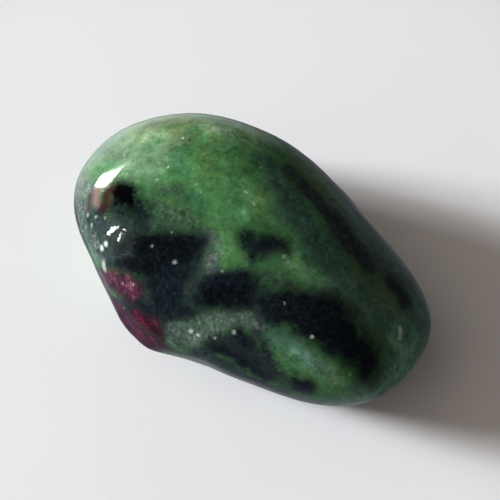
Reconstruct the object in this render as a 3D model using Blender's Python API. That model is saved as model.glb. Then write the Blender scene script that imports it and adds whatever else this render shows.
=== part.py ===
"""A tumbled pebble of ruby in zoisite, about 30 x 20 x 14 mm.

One natural piece of rock, so one closed solid. The pebble starts as a lump with
flat broken faces. Each face is a plane, given by the way it looks and its
distance from the middle of the lump. Wear rounds the planes into each other:
the surface is where

    sum over the faces of (n . p / d) ** WEAR = 1

with n the face's outward direction and d its distance. A large WEAR leaves crisp
edges and a small one leaves an egg. Low swells and hollows, which stand for
harder and softer patches of the rock, are added on top, and a flat facet below
lets the pebble lie still.

Frame: metres, +Z up. The origin is the middle of the bounding box, on the
surface that the pebble lies on. +X runs along the stone from the blunt head to
the tail, and -Y is the side with the ruby corner.
"""

import math

import bmesh
import bpy
import numpy as np

MM = 0.001

# Driving dimensions
CENTRE_HEIGHT = 6.9  # mm, from the resting facet to the middle of the lump
WEAR = 8.0  # how crisp the rounded edges between the faces stay
ASPECT = (1.5, 1.0, 0.75)  # rough length, width and height, to even out the mesh
SEGMENTS = 24  # mesh squares along each side of the cube that the mesh starts from

# name, azimuth and elevation of the outward direction in degrees, distance in mm
FACES = (
    # the blunt, wide head
    ("head_back", 126, 14, 11.8),
    ("head_left", 156, 12, 18.3),
    ("head_end", 186, 6, 18.5),
    ("head_front", 214, 0, 16.3),
    # the long front side, with the corner where the ruby lies
    ("ruby_side", 248, -4, 9.5),
    ("belly", 293, -18, 8.0),
    ("tail_front", 322, -6, 15.9),
    # the narrower tail and the back
    ("tail_end", 350, 2, 14.9),
    ("tail_back", 22, 10, 22.8),
    ("back_tail", 58, 20, 12.3),
    ("back_side", 80, 28, 9.7),
    ("back_head", 102, 22, 12.2),
    # the crown, its slopes, and the soft ridge between front and back
    ("crown", 80, 82, 7.5),
    ("top_front", 250, 66, 7.8),
    ("top_head", 190, 52, 11.0),
    ("top_tail", 14, 56, 10.6),
    ("top_back", 64, 58, 9.0),
    ("belly_slope", 290, 40, 8.8),
    # the underside
    ("under", 120, -88, 7.1),
    ("under_front", 276, -50, 10.4),
    ("under_back", 84, -38, 9.6),
    ("under_head", 185, -38, 14.2),
    ("under_tail", 2, -40, 13.2),
)

# name, azimuth and elevation in degrees, reach in degrees, height in mm
# (ruby is harder than zoisite, so the ruby corner has worn less)
SWELLS = (
    ("ruby_corner", 262, -4, 9, 0.26),
    ("ruby_side", 243, -6, 9, 0.18),
    ("belly_hollow", 289, 6, 12, -0.22),
    ("head_flat", 181, 8, 12, -0.20),
    ("head_low", 203, 6, 10, 0.12),
    ("front_edge", 342, 0, 10, 0.14),
    ("back_hollow", 72, 24, 16, -0.20),
    ("tail_corner", 18, -4, 10, -0.12),
)

STONE_COLOUR = (0.085, 0.190, 0.090, 1.0)
STONE_ROUGHNESS = 0.22


def direction(azimuth, elevation):
    a, e = math.radians(azimuth), math.radians(elevation)
    return np.array(
        (math.cos(a) * math.cos(e), math.sin(a) * math.cos(e), math.sin(e))
    )


def radius(u):
    """Distance in mm from the middle of the lump to its surface along the unit vector u."""
    worn = 0.0
    for _, azimuth, elevation, distance in FACES:
        facing = max(0.0, float(direction(azimuth, elevation) @ u))
        worn += (facing / distance) ** WEAR
    r = worn ** (-1.0 / WEAR)
    for _, azimuth, elevation, reach, height in SWELLS:
        off = 1.0 - float(direction(azimuth, elevation) @ u)
        r += height * math.exp(-off / (1.0 - math.cos(math.radians(reach))))
    return r


def pebble_mesh(name):
    bm = bmesh.new()
    bmesh.ops.create_cube(bm, size=2.0)
    bmesh.ops.subdivide_edges(
        bm, edges=bm.edges[:], cuts=SEGMENTS - 1, use_grid_fill=True
    )
    for v in bm.verts:
        # equal angles rather than equal steps, so that the squares stay alike
        u = np.array([math.tan(math.pi / 4 * c) for c in v.co]) * ASPECT
        u /= np.linalg.norm(u)
        p = u * radius(u)
        v.co = (p[0] * MM, p[1] * MM, (p[2] + CENTRE_HEIGHT) * MM)

    # the flat resting facet, in the plane z = 0
    bmesh.ops.bisect_plane(
        bm,
        geom=bm.verts[:] + bm.edges[:] + bm.faces[:],
        dist=0.02 * MM,
        plane_co=(0, 0, 0),
        plane_no=(0, 0, 1),
        clear_inner=True,
    )
    rim = [e for e in bm.edges if e.is_boundary]
    for e in rim:
        for v in e.verts:
            v.co.z = 0.0
    bmesh.ops.edgeloop_fill(bm, edges=rim)

    # the middle of the bounding box goes to x = y = 0
    xs = [v.co.x for v in bm.verts]
    ys = [v.co.y for v in bm.verts]
    shift = (-(min(xs) + max(xs)) / 2, -(min(ys) + max(ys)) / 2, 0.0)
    bmesh.ops.translate(bm, vec=shift, verts=bm.verts[:])

    bmesh.ops.recalc_face_normals(bm, faces=bm.faces[:])
    mesh = bpy.data.meshes.new(name)
    bm.to_mesh(mesh)
    bm.free()
    mesh.shade_smooth()
    mesh.set_sharp_from_angle(angle=math.radians(25))
    return mesh


def stone_material():
    material = bpy.data.materials.new("polished_stone")
    material.use_nodes = True
    shader = material.node_tree.nodes["Principled BSDF"]
    shader.inputs["Base Color"].default_value = STONE_COLOUR
    shader.inputs["Roughness"].default_value = STONE_ROUGHNESS
    shader.inputs["Metallic"].default_value = 0.0
    material.diffuse_color = STONE_COLOUR
    return material


def main():
    for obj in list(bpy.data.objects):
        bpy.data.objects.remove(obj, do_unlink=True)
    stone = bpy.data.objects.new("tumbled_stone", pebble_mesh("tumbled_stone"))
    stone.data.materials.append(stone_material())
    bpy.context.scene.collection.objects.link(stone)


main()
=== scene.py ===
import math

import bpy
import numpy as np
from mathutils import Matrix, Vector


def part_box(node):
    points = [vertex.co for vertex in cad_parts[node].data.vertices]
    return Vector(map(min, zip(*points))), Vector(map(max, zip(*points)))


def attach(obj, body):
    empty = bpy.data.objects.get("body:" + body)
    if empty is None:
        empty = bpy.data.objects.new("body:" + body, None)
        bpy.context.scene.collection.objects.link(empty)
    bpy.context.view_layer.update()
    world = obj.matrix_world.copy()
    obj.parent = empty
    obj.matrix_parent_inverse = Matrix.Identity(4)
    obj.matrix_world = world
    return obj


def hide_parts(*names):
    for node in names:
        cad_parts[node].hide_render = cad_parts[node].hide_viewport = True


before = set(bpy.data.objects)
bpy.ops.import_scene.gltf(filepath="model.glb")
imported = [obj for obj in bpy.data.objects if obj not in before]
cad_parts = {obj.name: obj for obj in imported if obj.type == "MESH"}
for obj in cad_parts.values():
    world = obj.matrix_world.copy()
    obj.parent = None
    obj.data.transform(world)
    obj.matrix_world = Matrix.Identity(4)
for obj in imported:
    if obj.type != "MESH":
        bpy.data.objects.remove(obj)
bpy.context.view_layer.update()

# The looks of a tumbled pebble of ruby in zoisite: a fine closed mesh with the worn relief of
# the polish, and one node-built material for the green zoisite, the black hornblende, the grey
# altered patches and the ruby. Lengths are in millimetres up to the point where a mesh is made.

MM = 0.001

# ------------------------------------------------------------------ camera
# Azimuth 0 looks along +Y. PX and F are pixels, for an image 500 pixels wide.
AZIMUTH, ELEVATION, LENS, SENSOR = 41.0, 65.0, 100.0, 36.0
AIM = np.array((-0.42, 1.17, 5.92))
DISTANCE = 104.8
PX = 500.0
F = LENS / SENSOR * PX

_a, _e = math.radians(AZIMUTH), math.radians(ELEVATION)
BACK = np.array((math.sin(_a) * math.cos(_e), -math.cos(_a) * math.cos(_e), math.sin(_e)))
RIGHT = np.array((math.cos(_a), math.sin(_a), 0.0))
UP = np.cross(BACK, RIGHT)
EYE = AIM + BACK * DISTANCE

# ------------------------------------------------------------------ the worn shape
# The same faces and swells as the solid: name, azimuth, elevation, distance in mm.
CENTRE_HEIGHT = 6.9
WEAR = 8.0
ASPECT = np.array((1.5, 1.0, 0.75))
FACES = (
    ("head_back", 126, 14, 11.8),
    ("head_left", 156, 12, 18.3),
    ("head_end", 186, 6, 18.5),
    ("head_front", 214, 0, 16.3),
    ("ruby_side", 248, -4, 9.5),
    ("belly", 293, -18, 8.0),
    ("tail_front", 322, -6, 15.9),
    ("tail_end", 350, 2, 14.9),
    ("tail_back", 22, 10, 22.8),
    ("back_tail", 58, 20, 12.3),
    ("back_side", 80, 28, 9.7),
    ("back_head", 102, 22, 12.2),
    ("crown", 80, 82, 7.5),
    ("top_front", 250, 66, 7.8),
    ("top_head", 190, 52, 11.0),
    ("top_tail", 14, 56, 10.6),
    ("top_back", 64, 58, 9.0),
    ("belly_slope", 290, 40, 8.8),
    ("under", 120, -88, 7.1),
    ("under_front", 276, -50, 10.4),
    ("under_back", 84, -38, 9.6),
    ("under_head", 185, -38, 14.2),
    ("under_tail", 2, -40, 13.2),
)
SWELLS = (
    ("ruby_corner", 262, -4, 9, 0.26),
    ("ruby_side", 243, -6, 9, 0.18),
    ("belly_hollow", 289, 6, 12, -0.22),
    ("head_flat", 181, 8, 12, -0.20),
    ("head_low", 203, 6, 10, 0.12),
    ("front_edge", 342, 0, 10, 0.14),
    ("back_hollow", 72, 24, 16, -0.20),
    ("tail_corner", 18, -4, 10, -0.12),
)


def direction(azimuth, elevation):
    a, e = math.radians(azimuth), math.radians(elevation)
    return np.array((math.cos(a) * math.cos(e), math.sin(a) * math.cos(e), math.sin(e)))


def radius(u):
    """Distance in mm from the middle of the lump to its surface along the unit vectors u."""
    worn = np.zeros(len(u))
    for _, azimuth, elevation, distance in FACES:
        worn += (np.maximum(0.0, u @ direction(azimuth, elevation)) / distance) ** WEAR
    r = worn ** (-1.0 / WEAR)
    for _, azimuth, elevation, reach, height in SWELLS:
        off = 1.0 - u @ direction(azimuth, elevation)
        r += height * np.exp(-off / (1.0 - math.cos(math.radians(reach))))
    return r


# ------------------------------------------------------------------ noise on points, in mm
def lattice(i, j, k, seed):
    """A repeatable number from 0 to 1 for each cell of a grid."""
    h = (i * 374761393 + j * 668265263 + k * 2147483647 + seed * 1274126177) & 0xFFFFFFFF
    h = ((h ^ (h >> 13)) * 1274126177) & 0xFFFFFFFF
    h = ((h ^ (h >> 16)) * 2246822519) & 0xFFFFFFFF
    return ((h ^ (h >> 15)) & 0xFFFFFF) / float(0xFFFFFF)


def value_noise(p, size, seed):
    """Smooth noise from -1 to 1 whose lumps are about size mm across."""
    q = p / size + 100.0
    base = np.floor(q).astype(np.int64)
    t = q - base
    t = t * t * t * (t * (t * 6 - 15) + 10)
    total = np.zeros(len(p))
    for dx in (0, 1):
        for dy in (0, 1):
            for dz in (0, 1):
                w = (
                    (t[:, 0] if dx else 1 - t[:, 0])
                    * (t[:, 1] if dy else 1 - t[:, 1])
                    * (t[:, 2] if dz else 1 - t[:, 2])
                )
                total += w * lattice(base[:, 0] + dx, base[:, 1] + dy, base[:, 2] + dz, seed)
    return total * 2 - 1


def fractal(p, size, octaves, seed, fall=0.5):
    total, share, whole = np.zeros(len(p)), 1.0, 0.0
    turn = np.array(((0.36, 0.48, -0.8), (-0.8, 0.6, 0.0), (0.48, 0.64, 0.6)))
    for o in range(octaves):
        total += share * value_noise(p, size, seed + 17 * o)
        whole += share
        share *= fall
        size *= 0.5
        p = p @ turn.T
    return total / whole


def pits(p, cell, seed, share, small, large):
    """Depth from 0 to 1 of round pits of radius small to large mm, in a share of the cells of a grid."""
    q = p / cell + 50.0
    base = np.floor(q).astype(np.int64)
    depth = np.zeros(len(p))
    for dx in (-1, 0, 1):
        for dy in (-1, 0, 1):
            for dz in (-1, 0, 1):
                i, j, k = base[:, 0] + dx, base[:, 1] + dy, base[:, 2] + dz
                there = lattice(i, j, k, seed) < share
                x = i + lattice(i, j, k, seed + 1)
                y = j + lattice(i, j, k, seed + 2)
                z = k + lattice(i, j, k, seed + 3)
                size = small + (large - small) * lattice(i, j, k, seed + 4) ** 2
                d = np.sqrt((q[:, 0] - x) ** 2 + (q[:, 1] - y) ** 2 + (q[:, 2] - z) ** 2)
                s = np.clip(1.0 - (d * cell / size) ** 2, 0.0, 1.0)
                depth = np.maximum(depth, np.where(there, s * s * (size / large), 0.0))
    return depth


def smooth(low, high, x):
    t = np.clip((x - low) / (high - low), 0.0, 1.0)
    return t * t * (3 - 2 * t)


# ------------------------------------------------------------------ the grid that the mesh is made on
N = 126  # squares along each side of the cube


def cube_grid():
    """The points of a cube's surface as whole numbers from 0 to N, its squares, and each square's side of the cube."""
    sides, step = [], np.arange(N)
    a, b = np.meshgrid(step, step, indexing="ij")
    a, b = a.ravel(), b.ravel()
    for axis in range(3):
        u, v = (axis + 1) % 3, (axis + 2) % 3
        for end in (0, N):
            corners = []
            for da, db in ((0, 0), (1, 0), (1, 1), (0, 1)):
                c = np.empty((len(a), 3), np.int64)
                c[:, axis], c[:, u], c[:, v] = end, a + da, b + db
                corners.append(c)
            quad = np.stack(corners, 1)
            sides.append(quad if end else quad[:, ::-1])
    quads = np.concatenate(sides)
    side = np.repeat(np.arange(6), N * N)
    key = (quads[..., 0] * (N + 1) + quads[..., 1]) * (N + 1) + quads[..., 2]
    _, first, index = np.unique(key.ravel(), return_index=True, return_inverse=True)
    return quads.reshape(-1, 3)[first], index.reshape(-1, 4), quads, side


grid, faces, quads, side = cube_grid()
u = np.tan(math.pi / 4 * (2.0 * grid / N - 1.0)) * ASPECT
u /= np.linalg.norm(u, axis=1)[:, None]
base = u * radius(u)[:, None]
base[:, 2] += CENTRE_HEIGHT
# the resting facet: level at z = 0, with a rim a few hundredths of a millimetre soft
facet = base[:, 2] < 0.0
base[:, 2] = 0.5 * (base[:, 2] + np.sqrt(base[:, 2] ** 2 + 0.05**2))
base[:, 2] -= base[:, 2].min()
low, high = (np.array(c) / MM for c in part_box("tumbled_stone"))
SHIFT = np.zeros(3)
SHIFT[:2] = ((low + high) / 2 - (base.min(0) + base.max(0)) / 2)[:2]
base += SHIFT
MIDDLE = SHIFT + (0.0, 0.0, CENTRE_HEIGHT)


def seen(pixels):
    """The points of the stone that the camera sees at these pixels, in mm. A pixel just off the stone gives the nearest edge of it."""
    out = []
    for x, y in pixels:
        ray = -BACK + RIGHT * (x - PX / 2) / F + UP * (PX / 2 - y) / F
        ray /= np.linalg.norm(ray)
        t = np.linspace(DISTANCE - 25, DISTANCE + 25, 1500)
        p = EYE + t[:, None] * ray - MIDDLE
        d = np.linalg.norm(p, axis=1)
        gap = d - radius(p / d[:, None])
        inside = np.nonzero(gap < 0)[0]
        k = inside[0] if len(inside) else int(np.argmin(gap))
        out.append(p[k] + MIDDLE)
    return np.array(out)


def facing(spots):
    """The points of the stone's surface in these directions (azimuth, elevation) from its middle."""
    v = np.array([direction(a, e) for a, e in spots])
    p = v * radius(v)[:, None] + MIDDLE
    p[:, 2] = np.maximum(p[:, 2], 0.0)
    return p


# ------------------------------------------------------------------ where each mineral lies
# Each patch is a chain of points with a radius. In front they are given where the camera sees
# them: x, y and radius in pixels. Elsewhere by azimuth, elevation and radius in mm.
PER_MM = F / DISTANCE

HORNBLENDE_SEEN = (
    # the spot beside the window's reflection
    ((119, 192, 9), (125, 195, 12), (131, 201, 8)),
    ((141, 208, 6), (146, 216, 5)),
    # the mass on the left
    ((120, 249, 5), (130, 244, 9), (150, 245, 13), (172, 244, 12), (190, 243, 9), (200, 243, 6)),
    ((122, 262, 7), (136, 265, 10), (154, 267, 9)),
    ((150, 256, 12), (168, 258, 11), (184, 256, 8), (194, 252, 6)),
    ((164, 272, 6), (178, 270, 6)),
    ((158, 284, 9), (158, 297, 9), (164, 309, 8)),
    ((130, 304, 4), (140, 316, 5), (148, 322, 4)),
    ((134, 299, 5), (146, 311, 6), (153, 326, 5)),
    ((170, 278, 7), (182, 276, 5)),
    ((186, 272, 5), (180, 282, 6), (174, 294, 6), (172, 306, 6)),
    # broken patches in the middle
    ((243, 236, 4), (250, 241, 5)),
    ((255, 246, 4), (264, 243, 4)),
    ((268, 239, 4), (276, 242, 5), (283, 247, 4)),
    ((254, 255, 3),),
    ((224, 284, 5), (233, 278, 5), (241, 277, 5), (250, 288, 5)),
    ((205, 291, 8), (220, 287, 11), (240, 286, 11)),
    ((198, 300, 4), (214, 299, 8), (232, 300, 7), (246, 300, 6)),
    ((184, 312, 5),),
    ((266, 308, 7), (276, 318, 8)),
    # the diagonal band
    ((256, 300, 5), (268, 305, 7), (284, 308, 11), (302, 315, 14), (322, 325, 18), (342, 336, 17), (352, 353, 10)),
    ((290, 298, 5), (312, 303, 6), (330, 306, 7), (341, 312, 6)),
    ((362, 346, 8), (368, 362, 8), (366, 376, 7)),
    # the lower patch and the small one by the tail
    ((216, 347, 4), (228, 353, 6), (240, 359, 7), (252, 367, 6), (264, 377, 5)),
    ((240, 332, 3), (246, 342, 6)),
    ((295, 381, 3), (303, 385, 6)),
    ((398, 288, 5), (405, 300, 4)),
)
HORNBLENDE_ROUND = (
    # the back, the head and the tail
    ((52, -4, 1.6), (70, -12, 2.4), (92, -6, 1.6)),
    ((108, -24, 2.0), (124, -30, 1.6)),
    ((148, -8, 1.3), (164, -14, 1.1)),
    ((24, -18, 1.5), (6, -26, 2.0)),
    # the underside
    ((200, -52, 1.8), (230, -70, 2.6), (300, -74, 2.2)),
    ((330, -50, 1.8), (350, -58, 2.2)),
    ((236, -34, 1.3), (222, -38, 1.6)),
    ((300, -42, 1.8), (316, -36, 1.4)),
)
# the darkest of it
PITCH_SEEN = (
    ((119, 192, 9), (125, 195, 12), (131, 201, 8)),
)
# the pink upper ruby and the deep red lower one
RUBY_SEEN = (
    ((100, 272, 6), (110, 280, 10), (124, 286, 11), (136, 291, 6)),
    ((128, 298, 4),),
)
RUBY_ROUND = (
    ((222, -10, 1.0), (228, -14, 1.2)),
    ((227, -4, 0.9), (231, -4, 0.8)),
    ((112, -50, 2.0),),
    ((98, 6, 0.8), (92, 2, 0.9)),
)
CRIMSON_SEEN = (
    ((118, 316, 6), (130, 327, 11), (142, 336, 12), (154, 342, 11), (162, 347, 7)),
    ((136, 316, 6), (150, 325, 7), (158, 334, 6)),
    ((120, 313, 5), (127, 322, 7), (134, 331, 8), (142, 340, 8), (150, 346, 6)),
)
CRIMSON_ROUND = (
    ((243, -2, 0.9), (250, -8, 1.4), (259, -8, 1.4)),
    ((240, 0, 1.0), (246, 2, 1.3), (252, 4, 1.4), (258, 4, 1.4)),
    ((256, -16, 1.6), (252, -28, 1.9)),
    ((232, -20, 1.2),),
)
# brown red, beside the window's reflection, and beside it a painted highlight: pale pink that paints the fading edge
# of the window's reflection
RUST_SEEN = (
    ((111, 187, 5), (107, 193, 6), (107, 199, 6), (104, 206, 6)),
    ((90, 196, 3), (89, 208, 3)),
)
PAINTED_HIGHLIGHT_SEEN = (
    ((102, 185, 4), (98, 190, 5), (96, 199, 4), (97, 204, 3)),
)
# dark bluish grey, where hornblende is mixed finely with zoisite; down the shaded flank it is partly painted shade
SLATE_SEEN = (
    ((114, 208, 8), (130, 220, 14), (138, 230, 12), (118, 234, 14), (106, 248, 9)),
    ((96, 184, 3), (94, 196, 4), (99, 212, 8), (104, 228, 9)),
    ((98, 250, 8), (107, 257, 9)),
    ((82, 204, 7), (88, 216, 9), (94, 232, 10), (100, 248, 9), (106, 262, 7)),
    ((116, 256, 8), (130, 256, 8)),
    ((110, 302, 8), (126, 306, 11), (146, 304, 12)),
    ((140, 286, 6), (148, 300, 9), (154, 316, 9), (161, 326, 8), (162, 338, 6)),
    ((146, 264, 12), (150, 284, 12), (156, 302, 13), (164, 318, 10)),
    ((172, 266, 10), (174, 286, 10), (176, 304, 10)),
    ((196, 262, 6), (192, 276, 9), (190, 290, 10), (186, 304, 8), (182, 314, 7)),
    ((256, 247, 6), (268, 244, 6)),
    ((204, 280, 5), (234, 288, 16), (262, 302, 13)),
    # down the shaded flank: dark bluish grey that is partly the stone's colour and partly painted shade
    ((290, 170, 8), (306, 188, 9), (322, 204, 10), (334, 220, 12), (345, 238, 14), (360, 254, 13), (368, 268, 8)),
    ((392, 284, 9), (404, 300, 8)),
    ((214, 344, 9), (232, 344, 12), (256, 358, 9), (272, 376, 8)),
    ((304, 389, 10),),
    ((254, 328, 5), (262, 342, 7), (268, 354, 7)),
    ((195, 312, 6),),
    ((194, 351, 5), (208, 356, 7), (222, 362, 7), (236, 369, 6)),
    ((182, 355, 4), (200, 359, 5), (218, 365, 6), (236, 373, 7), (252, 379, 6)),
    ((266, 385, 5), (282, 390, 6), (298, 397, 6), (316, 401, 5)),
)
SLATE_ROUND = (
    ((296, -2, 1.5), (306, 2, 1.4), (314, 5, 1.2)),
    ((322, -4, 1.3), (334, -3, 1.4)),
    ((200, 6, 1.2), (207, 2, 1.6), (214, -4, 1.6), (222, -6, 1.6), (232, -6, 1.6), (240, -8, 1.4)),
    ((60, 4, 2.2), (84, -4, 2.8), (108, -16, 2.4)),
    ((96, 12, 2.0), (80, 10, 2.2), (66, 10, 2.2)),
    ((20, -14, 2.4), (350, -22, 2.2)),
    ((210, -46, 2.6), (240, -60, 3.0)),
)
GREY_SEEN = (
    ((209, 238, 4), (211, 250, 6), (214, 264, 6), (216, 272, 5)),
    ((204, 321, 6), (216, 319, 8), (230, 319, 8), (243, 319, 8), (256, 321, 6)),
    ((170, 341, 5), (184, 342, 5)),
    ((172, 330, 6), (186, 331, 9), (202, 333, 7)),
    ((76, 188, 7), (78, 206, 9), (84, 226, 10), (93, 244, 9), (101, 262, 7)),
    ((252, 302, 4), (264, 306, 5)),
    ((186, 286, 3),),
    ((84, 180, 6), (87, 192, 7), (89, 203, 6)),
)
GREY_ROUND = (
    ((240, -40, 2.0), (262, -46, 1.8)),
    ((108, -38, 2.6),),
    ((190, -28, 1.8), (176, -36, 1.6)),
    ((200, -8, 1.5), (208, -12, 1.7), (215, -14, 1.4)),
)
# the greens: paler and greyer at the head, bluer and greyer down the flank and the tail
MINT_SEEN = (
    ((84, 168, 14), (100, 150, 18), (126, 144, 20), (142, 158, 18), (166, 148, 14)),
    ((130, 170, 12), (150, 172, 8)),
    ((150, 132, 16), (180, 134, 12)),
    ((150, 122, 14), (180, 118, 12), (210, 124, 12), (234, 130, 12), (256, 140, 9)),
)
MINT_ROUND = (
    ((170, 6, 4.0), (186, -6, 4.0), (196, 0, 3.0)),
    ((146, 8, 3.0), (120, 0, 2.0)),
)
TEAL_SEEN = (
    ((268, 160, 9), (284, 190, 15), (304, 222, 18), (322, 250, 18), (345, 284, 22), (372, 306, 24)),
    ((396, 326, 24), (402, 352, 20), (382, 384, 14), (350, 398, 10), (312, 400, 8)),
    ((262, 322, 6), (278, 334, 10), (292, 346, 9), (306, 354, 9), (318, 363, 8), (332, 375, 8)),
    ((318, 286, 8), (330, 290, 10)),
    ((350, 225, 22), (380, 260, 22), (404, 290, 20)),
)
TEAL_ROUND = (
    ((60, 0, 5.0), (36, -4, 5.0), (14, -10, 5.0), (350, -14, 4.5)),
    ((90, -20, 4.0), (320, -34, 3.6)),
)
# where the green is pale, where it is dark, where it leans to olive and where to blue
PALE_SEEN = (
    ((209, 129, 7), (220, 128, 7), (234, 129, 6)),
    ((146, 136, 6), (160, 134, 5)),
    ((214, 129, 9), (240, 127, 5), (256, 132, 5)),
    ((248, 190, 6), (252, 204, 6), (248, 214, 6)),
    ((286, 254, 7), (300, 266, 7), (312, 284, 8), (324, 287, 7)),
    # along the lower rim of the shaded tail the pale band is partly painted light, a painted rim reflection
    ((350, 399, 9), (366, 394, 9), (386, 384, 9), (404, 364, 8), (412, 344, 7)),
    ((396, 338, 8), (404, 350, 7)),
    ((300, 352, 5), (312, 360, 9), (328, 372, 9), (342, 380, 6)),
    ((198, 334, 4), (190, 332, 5)),
    ((122, 168, 6),),
)
DEEP_SEEN = (
    ((256, 156, 6), (252, 170, 7)),
    ((262, 350, 5), (272, 366, 7), (286, 374, 6)),
    ((189, 140, 4), (188, 148, 3)),
    ((172, 148, 5),),
    ((176, 190, 7), (186, 200, 6)),
    # along the line where the flank turns from the light: dark green that is partly painted shade
    ((268, 160, 7), (280, 180, 14), (296, 206, 14), (312, 232, 14), (330, 256, 14)),
    ((298, 162, 6), (312, 178, 8), (326, 194, 9), (340, 210, 9), (352, 226, 9)),
    ((84, 166, 10), (82, 186, 9)),
    ((94, 158, 9), (100, 148, 7), (110, 154, 7), (124, 158, 7)),
    ((150, 124, 6), (170, 124, 7)),
    ((262, 272, 8), (274, 280, 7)),
    ((266, 285, 9), (284, 288, 9), (258, 270, 6)),
    ((214, 298, 12), (236, 297, 12)),
    ((150, 190, 6), (160, 196, 6)),
    ((148, 248, 14), (166, 250, 16), (184, 248, 12)),
    ((104, 211, 8), (118, 212, 9), (128, 222, 9), (134, 232, 8)),
    ((136, 268, 9), (156, 272, 8)),
    ((140, 188, 5), (144, 199, 5)),
)
DEEP_ROUND = (
    ((36, 14, 2.6), (58, 8, 2.6)),
    ((350, -10, 2.0),),
    ((140, 10, 2.2),),
)
OLIVE_SEEN = (
    ((188, 120, 7), (204, 122, 9), (214, 138, 8)),
    ((202, 150, 6), (206, 168, 8), (204, 182, 6)),
    ((190, 178, 4), (192, 190, 4)),
    ((226, 236, 7), (226, 252, 8), (234, 264, 7)),
    ((262, 196, 6), (260, 214, 6)),
    ((186, 342, 9), (200, 346, 7)),
    ((226, 328, 8), (236, 334, 6)),
    ((336, 378, 7),),
    ((186, 222, 8), (196, 230, 6)),
    ((116, 246, 6),),
)
OLIVE_ROUND = (
    ((160, 30, 1.6), (170, 20, 1.4)),
    ((90, 40, 2.0),),
    ((30, 30, 1.8), (20, 18, 1.6)),
    ((130, -10, 2.0),),
)
COOL_SEEN = (
    ((176, 158, 7), (184, 176, 7)),
    ((176, 196, 6), (192, 200, 7), (206, 208, 6)),
    ((232, 190, 8), (238, 214, 8)),
    ((264, 262, 6), (276, 256, 5)),
)
COOL_ROUND = (
    ((110, 16, 2.4), (126, 2, 2.0)),
    ((330, -30, 2.2),),
    ((180, 10, 1.6),),
)
# where the green is greyed by fine hornblende
SMOKY_SEEN = (
    ((150, 204, 7), (162, 212, 12), (180, 220, 13), (198, 226, 9)),
    ((162, 190, 5), (180, 192, 5)),
    ((168, 332, 6), (212, 330, 5)),
    ((144, 224, 9), (160, 230, 9), (186, 232, 8)),
    ((204, 240, 7), (208, 256, 8), (202, 274, 9), (190, 292, 10)),
    ((152, 292, 10), (150, 308, 8), (170, 322, 9), (176, 342, 8)),
    ((204, 262, 6),),
    ((262, 276, 8), (280, 284, 7), (294, 288, 6)),
    ((206, 308, 8), (246, 308, 8), (262, 312, 6)),
    ((206, 350, 10), (234, 338, 9), (256, 348, 7), (272, 372, 10), (290, 388, 8)),
    ((258, 248, 10), (282, 250, 7)),
    ((284, 286, 6), (300, 293, 6), (340, 298, 7), (366, 330, 9), (376, 354, 10), (374, 386, 8)),
)
SMOKY_ROUND = (
    ((46, 2, 2.8), (70, 0, 3.4), (100, -8, 3.0), (124, -20, 2.6)),
    ((156, -6, 2.0), (170, -14, 2.0)),
    ((16, -12, 2.8), (350, -24, 2.6)),
    ((200, -46, 2.8), (240, -62, 3.2), (320, -56, 2.8)),
)
# the polish is broken here
BROKEN_SEEN = (
    ((107, 228, 15), (119, 230, 15), (122, 241, 15), (107, 245, 14)),
)
BROKEN_ROUND = (
    ((70, -10, 0.34), (74, -8, 0.26)),
    ((230, -66, 0.40), (236, -63, 0.30)),
    ((6, -26, 0.30), (9, -29, 0.24)),
)
# but small faces of it keep their polish: x, y and radius in pixels, and strength
HELD = (
    (109, 233, 2.4, 1.0), (112, 230, 2.8, 1.0), (115, 228, 2.2, 1.0), (118, 227, 1.4, 1.0),
    (120, 239, 2.8, 1.0), (122, 235, 3.2, 1.0), (124, 231, 2.2, 1.0),
)
# small pale flecks, some of them painted glints of the window (the pair at 102-106, 244-248 and the short streak at
# 399-400, 329-338), and small dark specks, in the same way
FLECKS_AND_GLINTS = (
    (183, 138, 1.6, 0.9), (168, 167, 1.7, 0.7), (157, 180, 1.8, 0.4), (216, 130, 2.0, 0.4), (230, 129, 1.6, 0.5),
    (246, 192, 1.9, 0.5), (254, 204, 2.0, 0.4), (201, 192, 1.6, 0.4), (196, 184, 1.4, 0.4), (284, 256, 2.0, 0.4),
    (175, 262, 2.6, 0.35), (198, 335, 2.2, 0.8), (191, 331, 2.8, 0.8), (215, 338, 1.8, 0.5), (312, 337, 2.0, 0.8),
    (400, 329, 3.2, 0.9), (400, 333, 3.2, 0.9), (399, 338, 3.0, 0.7), (104, 267, 6.0, 0.6), (102, 248, 3.6, 1.0), (106, 244, 3.2, 1.0), (234, 332, 2.4, 0.5), (92, 225, 2.4, 0.5), (88, 215, 2.6, 0.4), (104, 263, 3.2, 0.7),
    (134, 284, 1.4, 0.4), (123, 283, 1.6, 0.3), (288, 262, 1.8, 0.4), (124, 155, 2.0, 0.3), (350, 374, 2.0, 0.3),
    (216, 129, 5.0, 0.35), (222, 128, 1.6, 0.3), (261, 168, 1.6, 0.3), (105, 218, 1.8, 0.4), (96, 217, 2.2, 0.4),
    (152, 246, 1.6, 0.3), (172, 232, 1.5, 0.3),
)
SPECKS = (
    (164, 195, 2.2, 0.8), (183, 214, 3.6, 0.6), (187, 209, 1.8, 0.4), (195, 228, 2.6, 0.4),
    (190, 140, 2.6, 0.5), (207, 146, 1.6, 0.4), (123, 276, 2.4, 0.6), (251, 232, 1.8, 0.5), (139, 216, 2.0, 0.5),
    (320, 250, 2.0, 0.5), (236, 154, 2.2, 0.3), (152, 183, 1.6, 0.3), (171, 150, 2.6, 0.4),
)


def chain_distance(p, points, radii):
    """Distance in mm from p to a chain of round-ended links of changing radius. Negative inside."""
    if len(points) == 1:
        return np.linalg.norm(p - points[0], axis=1) - radii[0]
    best = np.full(len(p), np.inf)
    for a, b, ra, rb in zip(points[:-1], points[1:], radii[:-1], radii[1:]):
        along = b - a
        t = np.clip((p - a) @ along / (along @ along), 0.0, 1.0)
        near = a + t[:, None] * along
        best = np.minimum(best, np.linalg.norm(p - near, axis=1) - (ra + t * (rb - ra)))
    return best


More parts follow.
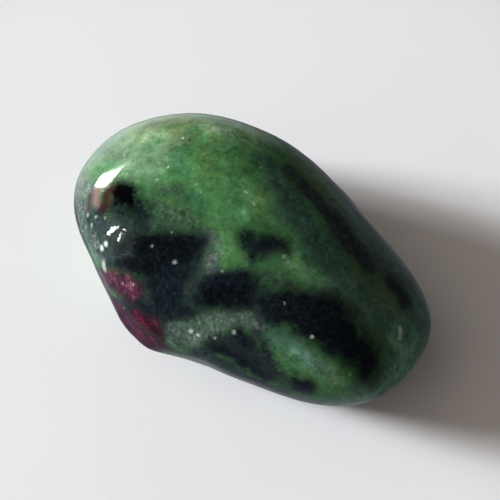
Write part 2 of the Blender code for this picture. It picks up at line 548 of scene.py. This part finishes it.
def field(p, seen_chains, round_chains=(), blend=0.25):
    """How deep in mm p lies inside the patches. Negative outside."""
    total = np.zeros(len(p))
    for chain in seen_chains:
        d = chain_distance(p, seen([c[:2] for c in chain]), [c[2] / PER_MM for c in chain])
        total += np.exp(-np.clip(d, -3.0, 8.0) / blend)
    for chain in round_chains:
        d = chain_distance(p, facing([c[:2] for c in chain]), [c[2] for c in chain])
        total += np.exp(-np.clip(d, -3.0, 8.0) / blend)
    return np.clip(blend * np.log(total + 1e-12), -3.0, 3.0)


PATCHES = {
    "hornblende": field(base, HORNBLENDE_SEEN, HORNBLENDE_ROUND),
    "pitch": field(base, PITCH_SEEN),
    "ruby": field(base, RUBY_SEEN, RUBY_ROUND),
    "crimson": field(base, CRIMSON_SEEN, CRIMSON_ROUND),
    "rust": field(base, RUST_SEEN),
    "painted_highlight": field(base, PAINTED_HIGHLIGHT_SEEN),
    "slate": field(base, SLATE_SEEN, SLATE_ROUND),
    "grey": field(base, GREY_SEEN, GREY_ROUND),
    "mint": field(base, MINT_SEEN, MINT_ROUND),
    "teal": field(base, TEAL_SEEN, TEAL_ROUND),
    "pale": field(base, PALE_SEEN),
    "deep": field(base, DEEP_SEEN, DEEP_ROUND),
    "olive": field(base, OLIVE_SEEN, OLIVE_ROUND),
    "cool": field(base, COOL_SEEN, COOL_ROUND),
    "smoky": field(base, SMOKY_SEEN, SMOKY_ROUND),
    "broken": field(base, BROKEN_SEEN, BROKEN_ROUND),
}

# ------------------------------------------------------------------ relief left by the polish
# broad worn hollows and rises: azimuth, elevation, reach in degrees, and height in mm
LEAN = (
    (207, 0, 10, 0.24),
    (222, -9, 11, 0.20),
    (235, -6, 11, 0.14),
    (252, -7, 9, 0.14),
    (284, -22, 18, -0.36),
    (290, 0, 13, -0.08),
    (337, -7, 8, 0.15),
    (86, 6, 14, -0.24),
    (130, 20, 16, -0.20),
    (102, 14, 13, -0.14),
    (66, 4, 10, -0.26),
    (60, 2, 9, -0.14),
    (48, 4, 10, -0.16),
    (328, -2, 11, 0.20),
    (14, 4, 12, 0.12),
    (248, -6, 8, 0.10),
    (261, -6, 7, 0.08),
)
black = smooth(-0.3, 0.4, PATCHES["hornblende"] + 0.25 * fractal(base, 1.2, 3, 5))
red = smooth(-0.3, 0.3, np.maximum(PATCHES["ruby"], PATCHES["crimson"]))
relief = 0.030 * fractal(base, 6.0, 2, 11) + 0.012 * fractal(base, 1.8, 2, 23)
relief += black * (-0.010 + 0.012 * fractal(base, 1.2, 2, 31))
relief += red * (0.010 + 0.014 * fractal(base, 1.0, 2, 37))
relief -= 0.030 * pits(base, 1.9, 101, 0.20, 0.30, 0.55) * (0.3 + 0.7 * np.maximum(black, red))
for azimuth, elevation, reach, height in LEAN:
    relief += height * np.exp(-(1.0 - u @ direction(azimuth, elevation)) / (1.0 - math.cos(math.radians(reach))))
relief *= smooth(0.0, 0.6, base[:, 2])
points = base + u * relief[:, None]
points[:, 2] = np.maximum(points[:, 2], 0.0)


def atlas(quads, side):
    """A flat map of the six sides of the cube, side by side in three rows."""
    # side: column and row of its box in the unit square, and its width and height
    boxes = {
        4: (0.0, 0.0, 0.5, 0.40),  # below
        5: (0.5, 0.0, 0.5, 0.40),  # above
        2: (0.0, 0.40, 0.5, 0.30),  # front
        3: (0.5, 0.40, 0.5, 0.30),  # back
        0: (0.0, 0.70, 0.5, 0.30),  # head
        1: (0.5, 0.70, 0.5, 0.30),  # tail
    }
    plan = {0: (1, 2), 1: (1, 2), 2: (0, 2), 3: (0, 2), 4: (0, 1), 5: (0, 1)}
    gap = 0.006
    out = np.empty((len(quads), 4, 2))
    for s, (x, y, w, h) in boxes.items():
        mine = side == s
        c = quads[mine] / float(N)
        a, b = plan[s]
        out[mine, :, 0] = x + gap + c[..., a] * (w - 2 * gap)
        out[mine, :, 1] = y + gap + c[..., b] * (h - 2 * gap)
    return out


def make_stone():
    mesh = bpy.data.meshes.new("stone")
    mesh.vertices.add(len(points))
    mesh.vertices.foreach_set("co", (points * MM).astype(np.float32).ravel())
    mesh.loops.add(faces.size)
    mesh.loops.foreach_set("vertex_index", faces.astype(np.int32).ravel())
    mesh.polygons.add(len(faces))
    mesh.polygons.foreach_set("loop_start", np.arange(0, faces.size, 4, dtype=np.int32))
    mesh.polygons.foreach_set("use_smooth", np.ones(len(faces), bool))
    uv = mesh.uv_layers.new(name="OFBake")
    uv.uv.foreach_set("vector", atlas(quads, side).astype(np.float32).ravel())
    for name, values in PATCHES.items():
        made = mesh.attributes.new(name, "FLOAT", "POINT")
        made.data.foreach_set("value", values.astype(np.float32))
    mesh.update()
    mesh.validate()
    obj = bpy.data.objects.new("stone", mesh)
    bpy.context.scene.collection.objects.link(obj)
    return obj


# ------------------------------------------------------------------ materials
def lin(r, g, b):
    """A colour given in 0-255 as it would show on screen, as the shader wants it."""
    def one(c):
        c /= 255.0
        return c / 12.92 if c <= 0.04045 else ((c + 0.055) / 1.055) ** 2.4
    return (one(r), one(g), one(b), 1.0)


class Tree:
    """Short names for the shader nodes that the materials are built from."""

    def __init__(self, material):
        material.use_nodes = True
        self.tree = material.node_tree
        self.tree.nodes.clear()

    def put(self, socket, value):
        if isinstance(value, bpy.types.NodeSocket):
            self.tree.links.new(value, socket)
        else:
            socket.default_value = value

    def node(self, kind, inputs=None, **settings):
        made = self.tree.nodes.new(kind)
        for name, value in settings.items():
            setattr(made, name, value)
        for name, value in (inputs or {}).items():
            self.put(made.inputs[name], value)
        return made

    def math(self, operation, a, b=0.0, clamp=False):
        made = self.node("ShaderNodeMath", operation=operation, use_clamp=clamp)
        self.put(made.inputs[0], a)
        if operation not in ("ABSOLUTE", "SQRT"):
            self.put(made.inputs[1], b)
        return made.outputs[0]

    def add(self, *terms):
        total = terms[0]
        for term in terms[1:]:
            total = self.math("ADD", total, term)
        return total

    def times(self, a, b):
        return self.math("MULTIPLY", a, b)

    def step(self, value, low, high, out_low=0.0, out_high=1.0):
        """A smooth rise from out_low to out_high as value goes from low to high."""
        made = self.node(
            "ShaderNodeMapRange",
            {1: low, 2: high, 3: out_low, 4: out_high},
            interpolation_type="SMOOTHSTEP",
        )
        self.put(made.inputs[0], value)
        return made.outputs[0]

    def mix(self, factor, a, b):
        made = self.node("ShaderNodeMix", data_type="RGBA", clamp_factor=True)
        self.put(made.inputs[0], factor)
        self.put(made.inputs[6], a)
        self.put(made.inputs[7], b)
        return made.outputs[2]

    def noise(self, at, per_mm, detail=4.0, rough=0.55, distort=0.0, seed=0.0):
        made = self.node(
            "ShaderNodeTexNoise",
            {"Vector": at, "W": seed, "Scale": per_mm, "Detail": detail, "Roughness": rough, "Distortion": distort},
            noise_dimensions="4D",
        )
        return made.outputs["Fac"]

    def cells(self, at, per_mm, feature="F1", randomness=1.0):
        made = self.node(
            "ShaderNodeTexVoronoi",
            {"Vector": at, "Scale": per_mm, "Randomness": randomness},
            feature=feature,
        )
        return made

    def picks(self, cells):
        """Three numbers from 0 to 1 that are the same all over a cell."""
        return self.node("ShaderNodeSeparateColor", {0: cells.outputs["Color"]}).outputs

    def scaled(self, vector, factor):
        made = self.node("ShaderNodeVectorMath", {0: vector}, operation="SCALE")
        made.inputs["Scale"].default_value = factor
        return made.outputs[0]

    def tinted(self, colour, factor, tint):
        made = self.node("ShaderNodeMix", data_type="RGBA", blend_type="MULTIPLY", clamp_factor=True)
        for place, value in ((0, factor), (6, colour), (7, tint)):
            self.put(made.inputs[place], value)
        return made.outputs[2]

    def field(self, name):
        return self.node("ShaderNodeAttribute", attribute_name=name).outputs["Fac"]

    def ramp(self, factor, stops, mode="LINEAR"):
        made = self.node("ShaderNodeValToRGB")
        made.color_ramp.interpolation = mode
        elements = made.color_ramp.elements
        while len(elements) < len(stops):
            elements.new(1.0)
        for element, (place, colour) in zip(elements, stops):
            element.position = place
            element.color = colour
        self.put(made.inputs[0], factor)
        return made.outputs[0]


def stone_material():
    material = bpy.data.materials.new("ruby_in_zoisite")
    t = Tree(material)
    coords = t.node("ShaderNodeTexCoord").outputs["Object"]
    at = t.scaled(coords, 1000.0)  # in mm

    # warped copies of the coordinates, so that patches, grains and flecks have natural outlines
    def warped(size, reach, detail=3.0):
        cloud = t.node(
            "ShaderNodeTexNoise", {"Vector": at, "Scale": 1.0 / size, "Detail": detail, "Roughness": 0.6}
        ).outputs["Color"]
        centred = t.node("ShaderNodeVectorMath", {0: cloud, 1: (0.5, 0.5, 0.5)}, operation="SUBTRACT").outputs[0]
        return t.node("ShaderNodeVectorMath", {0: at, 1: t.scaled(centred, reach)}, operation="ADD").outputs[0]

    bent = warped(1.3, 0.55)
    ruffled = warped(0.16, 0.30, 2.0)

    coarse = t.noise(bent, 0.28, 3.0, 0.5, seed=1.0)
    medium = t.noise(bent, 0.85, 4.0, 0.6, seed=2.0)
    fine = t.noise(bent, 2.6, 4.0, 0.65, seed=3.0)
    dust = t.noise(at, 9.0, 2.0, 0.6, seed=4.0)
    hue = t.noise(bent, 0.55, 3.0, 0.55, seed=6.0)

    grain = t.cells(bent, 1.9)
    grain_pick = t.picks(grain)
    small = t.cells(bent, 5.0)
    small_pick = t.picks(small)
    seams = t.cells(bent, 1.9, "DISTANCE_TO_EDGE").outputs["Distance"]

    def spread(value, share):
        """A value of 0 to 1 as share times its distance from one half."""
        return t.times(t.add(value, -0.5), share)

    # ---- green zoisite: interlocking grains of several greens
    pale = t.add(t.field("pale"), spread(medium, 2.0), spread(fine, 1.0))
    deep = t.add(t.field("deep"), spread(medium, 2.0), spread(fine, 1.0))
    tone = t.add(
        0.5,
        spread(coarse, 0.30),
        spread(medium, 0.46),
        spread(fine, 0.34),
        spread(grain_pick[0], 0.10),
        spread(small_pick[0], 0.09),
        t.step(pale, -0.6, 0.6, 0.0, 0.16),
        t.step(deep, -0.6, 0.6, 0.0, -0.15),
    )
    green = t.ramp(
        tone,
        (
            (0.10, lin(18, 42, 25)),
            (0.30, lin(40, 76, 43)),
            (0.50, lin(65, 110, 66)),
            (0.70, lin(88, 140, 88)),
            (0.92, lin(138, 178, 132)),
        ),
    )
    mints = t.ramp(
        tone,
        (
            (0.10, lin(38, 56, 42)),
            (0.30, lin(66, 90, 64)),
            (0.50, lin(92, 122, 90)),
            (0.70, lin(118, 150, 116)),
            (0.92, lin(168, 192, 162)),
        ),
    )
    teals = t.ramp(
        tone,
        (
            (0.10, lin(20, 36, 33)),
            (0.30, lin(42, 66, 56)),
            (0.50, lin(66, 98, 84)),
            (0.70, lin(90, 130, 110)),
            (0.92, lin(130, 168, 148)),
        ),
    )
    mint = t.add(t.field("mint"), spread(hue, 2.5), spread(fine, 1.2), spread(grain_pick[1], 0.6))
    teal = t.add(t.field("teal"), spread(hue, -2.5), spread(fine, 1.2), spread(grain_pick[1], 0.6))
    green = t.mix(t.step(mint, -0.9, 0.9, 0.0, 0.95), green, mints)
    green = t.mix(t.step(teal, -0.9, 0.9, 0.0, 0.95), green, teals)
    # some of it leans to olive, some to blue
    olive = t.add(t.field("olive"), spread(hue, 4.0), spread(fine, 1.2), -0.15)
    cool = t.add(t.field("cool"), spread(hue, -4.0), spread(fine, 1.2), -0.15)
    green = t.tinted(green, t.step(olive, -0.6, 0.9), (1.17, 0.95, 0.86, 1.0))
    green = t.tinted(green, t.step(cool, -0.6, 0.9), (0.86, 0.98, 1.14, 1.0))
    green = t.tinted(green, t.step(grain_pick[1], 0.80, 0.95, 0.0, 0.5), (1.22, 1.00, 0.82, 1.0))
    green = t.tinted(green, t.step(small_pick[1], 0.80, 0.95, 0.0, 0.5), (0.84, 1.00, 1.14, 1.0))
    green = t.tinted(green, t.step(seams, 0.0, 0.06, 0.7, 0.0), (0.80, 0.80, 0.82, 1.0))

    # ---- zoisite greyed by fine hornblende
    smoky = t.add(t.field("smoky"), spread(medium, 1.6), spread(fine, 1.0), spread(grain_pick[2], 0.35))
    smoke = t.ramp(
        t.add(fine, spread(small_pick[2], 0.25), spread(medium, 0.3)),
        ((0.28, lin(24, 34, 28)), (0.46, lin(42, 57, 45)), (0.60, lin(54, 74, 57)), (0.80, lin(84, 102, 84))),
    )
    colour = t.mix(t.step(smoky, -0.7, 0.7, 0.0, 0.85), green, smoke)

    # ---- dark bluish grey
    slate = t.add(t.field("slate"), spread(medium, 1.5), spread(fine, 1.0), spread(grain_pick[0], 0.3))
    slates = t.ramp(
        t.add(fine, spread(dust, 0.3), spread(small_pick[0], 0.2)),
        ((0.30, lin(15, 20, 26)), (0.50, lin(31, 38, 45)), (0.66, lin(46, 55, 61)), (0.82, lin(74, 84, 87))),
    )
    slates = t.tinted(slates, t.step(t.field("deep"), -0.4, 0.4), (0.62, 0.60, 0.60, 1.0))
    colour = t.mix(t.step(slate, -0.5, 0.4, 0.0, 0.92), colour, slates)

    # ---- grey altered patches
    grey = t.add(t.field("grey"), spread(medium, 1.7), spread(fine, 1.3))
    greys = t.ramp(
        t.add(fine, spread(small_pick[2], 0.25), spread(medium, 0.4)),
        ((0.26, lin(48, 55, 56)), (0.44, lin(70, 80, 78)), (0.58, lin(92, 103, 99)), (0.80, lin(128, 138, 131))),
    )
    colour = t.mix(t.step(grey, -0.5, 0.5, 0.0, 0.85), colour, greys)

    # small black needles scattered through the green
    needles = t.times(
        t.step(t.noise(bent, 3.2, 3.0, 0.6, seed=9.0), 0.64, 0.70),
        t.step(coarse, 0.46, 0.62),
    )
    colour = t.mix(t.times(needles, 0.6), colour, lin(19, 33, 23))

    # ---- hornblende: black, in soft blocky patches with a dark green fringe
    ragged = t.add(
        t.field("hornblende"),
        spread(medium, 1.4),
        spread(fine, 0.80),
        spread(grain_pick[2], 0.24),
        spread(small_pick[2], 0.08),
    )
    black_mask = t.step(ragged, -0.42, 0.34)
    colour = t.mix(t.step(ragged, -1.0, 0.0, 0.0, 0.60), colour, lin(25, 39, 31))
    blacks = t.ramp(
        t.add(fine, spread(small_pick[0], 0.14), spread(dust, 0.12)),
        ((0.36, lin(8, 12, 16)), (0.56, lin(17, 24, 30)), (0.70, lin(28, 36, 42)), (0.90, lin(46, 55, 61))),
    )
    blacks = t.tinted(blacks, t.step(t.field("deep"), -0.4, 0.4), (0.5, 0.5, 0.48, 1.0))
    blacks = t.mix(t.step(t.field("pitch"), -0.5, 0.2), blacks, lin(1, 1, 2))
    colour = t.mix(black_mask, colour, blacks)
    # ---- ruby, pink above and deep red below
    wave = t.add(spread(medium, 1.1), spread(fine, 0.35), spread(grain_pick[0], 0.12))
    ruby_edge = t.add(t.field("ruby"), wave)
    crimson_edge = t.add(t.field("crimson"), wave)
    near = t.math("MAXIMUM", ruby_edge, crimson_edge)
    shade = t.add(
        0.5, spread(medium, 0.9), spread(fine, 0.6), spread(dust, 0.25), spread(small_pick[1], 0.16), spread(grain_pick[1], 0.10)
    )
    rubies = t.ramp(
        shade,
        (
            (0.22, lin(29, 16, 23)),
            (0.38, lin(51, 26, 37)),
            (0.52, lin(73, 39, 52)),
            (0.66, lin(98, 64, 79)),
            (0.86, lin(142, 112, 124)),
        ),
    )
    crimsons = t.ramp(
        shade,
        (
            (0.22, lin(15, 7, 9)),
            (0.38, lin(36, 11, 19)),
            (0.54, lin(59, 17, 32)),
            (0.70, lin(84, 34, 52)),
            (0.88, lin(116, 70, 90)),
        ),
    )
    colour = t.mix(t.step(near, -0.75, -0.05, 0.0, 0.75), colour, lin(32, 27, 30))
    colour = t.mix(t.step(ruby_edge, -0.36, 0.34), colour, rubies)
    colour = t.mix(t.step(crimson_edge, -0.36, 0.34), colour, crimsons)
    rust = t.add(t.field("rust"), spread(fine, 0.8))
    colour = t.mix(t.step(rust, -0.35, 0.30, 0.0, 0.9), colour, lin(46, 23, 21))
    # painted highlight: a pale pink patch standing in for the fading edge of the window's reflection beside the brown
    # red spot
    painted_highlight = t.add(t.field("painted_highlight"), spread(fine, 0.6))
    colour = t.mix(t.step(painted_highlight, -0.35, 0.25, 0.0, 0.6), colour, lin(140, 112, 108))

    # ---- pale flecks of feldspar, some of them painted glints of the window, and dark specks
    def dotted(spots, core, rim):
        mask = 0.0
        for (x, y, r, strength), centre in zip(spots, seen([s[:2] for s in spots])):
            away = t.node(
                "ShaderNodeVectorMath", {0: ruffled, 1: tuple(float(c) for c in centre)}, operation="DISTANCE"
            ).outputs["Value"]
            reach = 1.2 * r / PER_MM
            mask = t.math("MAXIMUM", t.step(away, core * reach, rim * reach, strength, 0.0), mask)
        return mask

    colour = t.mix(dotted(SPECKS, 0.10, 1.10), colour, lin(20, 33, 23))
    # pale flecks, among them painted glints: bright spots standing in for reflections of the window
    colour = t.mix(dotted(FLECKS_AND_GLINTS, 0.10, 1.10), colour, lin(184, 196, 182))
    scattered = t.cells(ruffled, 0.62)
    fleck = t.times(
        t.step(scattered.outputs["Distance"], 0.04, 0.10, 1.0, 0.0),
        t.step(t.picks(scattered)[0], 0.84, 0.88, 0.0, 0.35),
    )
    colour = t.mix(fleck, colour, lin(150, 168, 148))

    broken = t.step(t.add(t.field("broken"), spread(medium, 0.9), spread(fine, 0.6)), -0.012, 0.012)
    matte = t.times(broken, t.math("SUBTRACT", 1.0, dotted(HELD, 0.65, 1.05)))
    rough = t.add(
        0.05,
        t.times(matte, 0.88),
        t.times(fine, 0.06),
        t.times(t.step(dust, 0.5, 0.8), 0.04),
    )
    # the polish: nearly flat, except where it is broken
    height = t.add(
        t.times(fine, 0.5),
        t.times(dust, 0.25),
        t.times(t.step(seams, 0.0, 0.06), 0.30),
        t.times(black_mask, -0.3),
    )
    bump = t.node("ShaderNodeBump", {"Strength": 0.35, "Height": height})
    bump.inputs["Distance"].default_value = 0.010 * MM
    # small cleavage faces, each tilted its own way
    plates = t.cells(warped(0.5, 0.35, 2.0), 2.1)
    tilt = t.node("ShaderNodeVectorMath", {0: plates.outputs["Color"], 1: (0.5, 0.5, 0.5)}, operation="SUBTRACT")
    amount = t.times(broken, 0.10)
    tilt = t.node("ShaderNodeVectorMath", {0: tilt.outputs[0], 3: amount}, operation="SCALE").outputs[0]
    tilted = t.node("ShaderNodeVectorMath", {0: bump.outputs[0], 1: tilt}, operation="ADD").outputs[0]
    tilted = t.node("ShaderNodeVectorMath", {0: tilted}, operation="NORMALIZE").outputs[0]
    shader = t.node(
        "ShaderNodeBsdfPrincipled",
        {"Base Color": colour, "Roughness": rough, "Normal": tilted},
    )
    shader.inputs["IOR"].default_value = 1.5
    shader.inputs["Specular IOR Level"].default_value = 0.30
    out = t.node("ShaderNodeOutputMaterial")
    t.tree.links.new(shader.outputs[0], out.inputs["Surface"])
    return material


def paper_material():
    """White paper near the stone, greyer further out: a painted pool of light around the stone."""
    material = bpy.data.materials.new("paper")
    t = Tree(material)
    at = t.node("ShaderNodeTexCoord").outputs["Object"]
    soft = t.noise(at, 60.0, 3.0, 0.5, seed=1.0)
    fibre = t.noise(at, 1600.0, 3.0, 0.6, seed=2.0)
    # painted pool of light: the paper fades to grey away from the stone, as if less lit there
    painted_falloff = t.step(t.node("ShaderNodeVectorMath", {0: at}, operation="LENGTH").outputs["Value"], 0.028, 0.070)
    colour = t.mix(soft, lin(230, 232, 235), lin(237, 239, 242))
    colour = t.mix(painted_falloff, colour, lin(158, 159, 161))
    bump = t.node("ShaderNodeBump", {"Strength": 0.2, "Height": fibre})
    bump.inputs["Distance"].default_value = 0.00003
    shader = t.node("ShaderNodeBsdfPrincipled", {"Base Color": colour, "Normal": bump.outputs[0]})
    shader.inputs["Roughness"].default_value = 0.75
    out = t.node("ShaderNodeOutputMaterial")
    t.tree.links.new(shader.outputs[0], out.inputs["Surface"])
    return material


stone = make_stone()
stone.data.materials.append(stone_material())
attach(stone, "root")
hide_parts("tumbled_stone")

# ------------------------------------------------------------------ floor, lights, camera
def make_floor():
    mesh = bpy.data.meshes.new("floor")
    s = 1.5
    mesh.from_pydata([(-s, -s, 0), (s, -s, 0), (s, s, 0), (-s, s, 0)], [], [(0, 1, 2, 3)])
    floor = bpy.data.objects.new("floor", mesh)
    mesh.materials.append(paper_material())
    bpy.context.scene.collection.objects.link(floor)
    return floor


paper = make_floor()
paper.visible_glossy = False


def area_light(name, azimuth, elevation, distance, width, height, watts, colour):
    data = bpy.data.lights.new(name, "AREA")
    data.shape = "RECTANGLE"
    data.size, data.size_y = width, height
    data.energy = watts
    data.color = colour
    light = bpy.data.objects.new(name, data)
    towards = direction(azimuth, elevation)
    light.location = towards * distance + np.array((0, 0, 0.006))
    from mathutils import Vector

    light.rotation_euler = Vector(towards).to_track_quat("Z", "Y").to_euler()
    bpy.context.scene.collection.objects.link(light)
    return light


# A window in two panes, low and high, shapes the stone and casts its shadow, with a weak warm fill. What the polish
# mirrors is two smaller bright panes.
for light in (
    area_light("pane_low", 205, 10, 1.4, 0.24, 0.24, 26.0, (0.96, 0.98, 1.0)),
    area_light("pane_high", 216, 27, 1.4, 0.30, 0.26, 22.0, (0.96, 0.98, 1.0)),
    area_light("fill", 232, 56, 1.0, 1.0, 1.0, 2.0, (1.0, 0.83, 0.70)),
):
    light.visible_glossy = False
for light in (
    area_light("glint_low", 182.8, 7.9, 1.0, 0.13, 0.22, 6.4, (1.0, 1.0, 1.0)),
    area_light("glint_high", 214, 19, 1.0, 0.15, 0.34, 10.4, (1.0, 1.0, 1.0)),
):
    light.visible_diffuse = False


def room_world():
    """A dim room. The polish mirrors it darker overhead, and paler below on the window's side, where the paper is lit. What the camera sees past the floor is a plain pale backdrop."""
    world = bpy.data.worlds.new("room")
    world.use_nodes = True
    tree = world.node_tree
    tree.nodes.clear()

    def node(kind, inputs=None, **settings):
        made = tree.nodes.new(kind)
        for name, value in settings.items():
            setattr(made, name, value)
        for name, value in (inputs or {}).items():
            if isinstance(value, bpy.types.NodeSocket):
                tree.links.new(value, made.inputs[name])
            else:
                made.inputs[name].default_value = value
        return made

    def rise(value, low, high, out_low=0.0, out_high=1.0):
        made = node("ShaderNodeMapRange", {1: low, 2: high, 3: out_low, 4: out_high}, interpolation_type="SMOOTHSTEP")
        tree.links.new(value, made.inputs[0])
        return made.outputs[0]

    def mix(factor, a, b):
        return node("ShaderNodeMix", {0: factor, 6: a, 7: b}, data_type="RGBA").outputs[2]

    towards = node("ShaderNodeTexCoord").outputs["Generated"]
    up = node("ShaderNodeSeparateXYZ", {0: towards}).outputs["Z"]
    window = tuple(float(c) for c in direction(158, 0))
    side = node("ShaderNodeVectorMath", {0: towards, 1: window}, operation="DOT_PRODUCT").outputs["Value"]
    shaded = mix(rise(side, 0.05, 0.38), (0.060, 0.068, 0.076, 1.0), (0.112, 0.122, 0.135, 1.0))
    near_wall = tuple(float(c) for c in direction(250, 0))
    across = node("ShaderNodeVectorMath", {0: towards, 1: near_wall}, operation="DOT_PRODUCT").outputs["Value"]
    shaded = mix(rise(across, -0.27, -0.12), shaded, (0.265, 0.280, 0.305, 1.0))
    shaded = mix(rise(across, 0.05, 0.34), shaded, (0.120, 0.130, 0.190, 1.0))
    paper = mix(rise(side, 0.54, 0.84), shaded, (1.05, 1.08, 1.10, 1.0))
    mirrored = mix(rise(up, -0.10, 0.16), paper, (0.030, 0.034, 0.038, 1.0))
    room = mix(rise(up, 0.0, 0.6), (0.255, 0.216, 0.192, 1.0), (0.122, 0.107, 0.098, 1.0))
    path = node("ShaderNodeLightPath")
    seen_by = mix(path.outputs["Is Glossy Ray"], room, mirrored)
    seen_by = mix(path.outputs["Is Camera Ray"], seen_by, (0.40, 0.40, 0.41, 1.0))
    background = node("ShaderNodeBackground", {"Color": seen_by})
    out = node("ShaderNodeOutputWorld", {"Surface": background.outputs[0]})
    return world


bpy.context.scene.world = room_world()
bpy.context.scene.view_settings.view_transform = "Standard"

camera_data = bpy.data.cameras.new("camera")
camera_data.lens = LENS
camera_data.sensor_width = SENSOR
camera_data.clip_start = 0.005
camera_data.clip_end = 10.0
camera = bpy.data.objects.new("camera", camera_data)
camera.location = EYE * MM
camera.rotation_euler = (math.radians(90 - ELEVATION), 0.0, math.radians(AZIMUTH))
bpy.context.scene.collection.objects.link(camera)
bpy.context.scene.camera = camera
